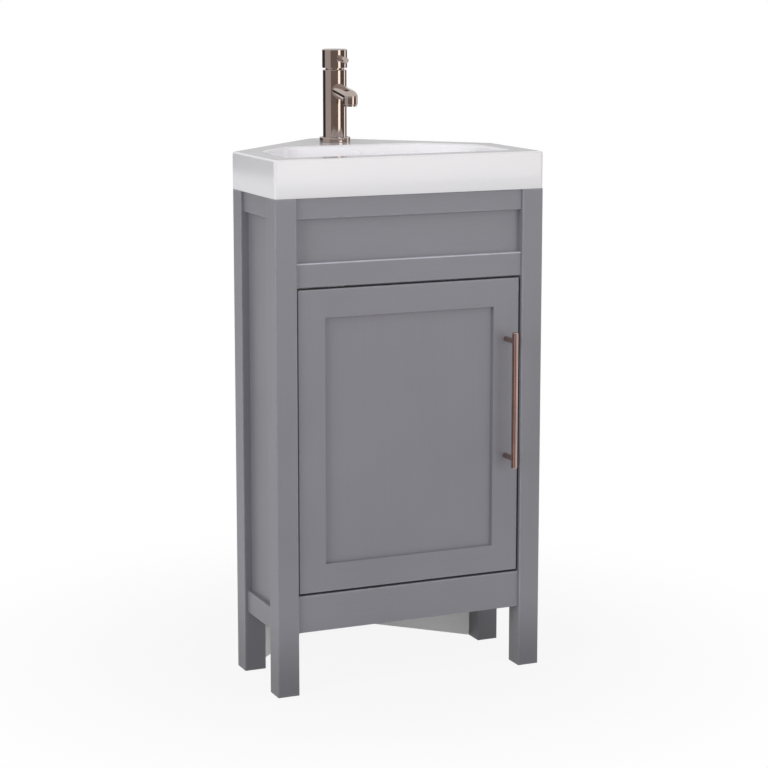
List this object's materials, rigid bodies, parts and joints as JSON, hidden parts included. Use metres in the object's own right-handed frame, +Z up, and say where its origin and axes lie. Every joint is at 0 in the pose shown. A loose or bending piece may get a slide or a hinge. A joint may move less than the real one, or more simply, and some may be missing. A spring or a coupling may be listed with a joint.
{
  "type": "corner vanity unit",
  "caption": "Grey frame-and-panel corner cabinet with an inset door and bar handle, a white five-sided slab basin and a single-lever mixer tap.",
  "frame": {"origin": "centre of the bounding box on the floor", "axes": "+Z up; the door and front face -Y; the room corner is towards +Y; X runs along the front, +X to the right seen from the front"},
  "size_m": [0.46, 0.4386, 1.005],
  "materials": {
    "cabinet_paint": "painted, satin grey",
    "pale_board": "pale grey melamine-faced board",
    "glaze": "white glaze",
    "tap_metal": "polished bronze plating",
    "handle_metal": "brushed copper-bronze plating",
    "bright_steel": "nickel plated",
    "plain_brass": "machined",
    "white_plastic": "moulded",
    "black_rubber": "moulded"
  },
  "bodies": {
    "cabinet": {"front_left_post": "cabinet_paint", "front_right_post": "cabinet_paint", "rear_left_post": "cabinet_paint", "rear_right_post": "cabinet_paint", "top_front_rail": "cabinet_paint", "middle_front_rail": "cabinet_paint", "bottom_front_rail": "cabinet_paint", "false_drawer_panel": "cabinet_paint", "left_top_rail": "cabinet_paint", "left_bottom_rail": "cabinet_paint", "left_side_panel": "cabinet_paint", "right_top_rail": "cabinet_paint", "right_bottom_rail": "cabinet_paint", "right_side_panel": "cabinet_paint", "left_back_panel": "pale_board", "right_back_panel": "pale_board", "corner_batten": "pale_board", "cabinet_floor": "pale_board", "shelf": "pale_board", "hinge_blocks": "pale_board", "door_stops": "cabinet_paint", "shelf_pegs": "bright_steel", "hinge_arms": "bright_steel", "hinge_plates": "bright_steel", "hinge_plate_screws": "bright_steel", "basin": "glaze", "overflow_ring": "tap_metal", "waste_body": "tap_metal", "waste_washers": "black_rubber", "waste_backnut": "plain_brass", "trap_nuts": "white_plastic", "trap_body": "white_plastic", "trap_bottle": "white_plastic", "outlet_pipe": "white_plastic", "tap_flange": "tap_metal", "tap_body": "tap_metal", "tap_spout": "tap_metal", "tap_aerator": "bright_steel", "tap_cartridge": "white_plastic", "tap_shank": "plain_brass", "tap_washer": "black_rubber", "tap_backnut": "plain_brass"},
    "hinge_links": {"hinge_links": "bright_steel", "hinge_pins": "bright_steel"},
    "door": {"door_left_stile": "cabinet_paint", "door_right_stile": "cabinet_paint", "door_top_rail": "cabinet_paint", "door_bottom_rail": "cabinet_paint", "door_panel": "cabinet_paint", "handle_bar": "handle_metal", "handle_posts": "handle_metal", "handle_screws": "bright_steel", "hinge_cups": "bright_steel", "hinge_cup_screws": "bright_steel"},
    "waste_plug": {"waste_plug": "tap_metal"},
    "tap_spindle": {"tap_spindle": "plain_brass"},
    "tap_lever": {"tap_cap": "tap_metal", "tap_lever_pin": "tap_metal", "tap_pivot_pin": "bright_steel"}
  },
  "joints": [
    {"name": "hinge_link_swing", "type": "hinge", "parent": "cabinet", "child": "hinge_links", "pos_m": [-0.154, -0.15729, 0.404], "axis": [0, 0, -1], "range_deg": [0, 14.2]},
    {"name": "door_swing", "type": "hinge", "parent": "hinge_links", "child": "door", "pos_m": [-0.166, -0.17309, 0.404], "axis": [0, 0, -1], "range_deg": [0, 76]},
    {"name": "waste_plug_lift", "type": "slide", "parent": "cabinet", "child": "waste_plug", "axis": [0, 0, 1], "range_m": [0, 0.008]},
    {"name": "tap_temperature", "type": "hinge", "parent": "cabinet", "child": "tap_spindle", "pos_m": [0, 0.13171, 0.9785], "axis": [0, 0, 1], "range_deg": [-45, 45]},
    {"name": "tap_lever_lift", "type": "hinge", "parent": "tap_spindle", "child": "tap_lever", "pos_m": [0, 0.13171, 0.9785], "axis": [-1, 0, 0], "range_deg": [0, 16]}
  ],
  "couplings": [
    {"joint": "hinge_link_swing", "follows": "door_swing", "ratio": 0.18421}
  ]
}
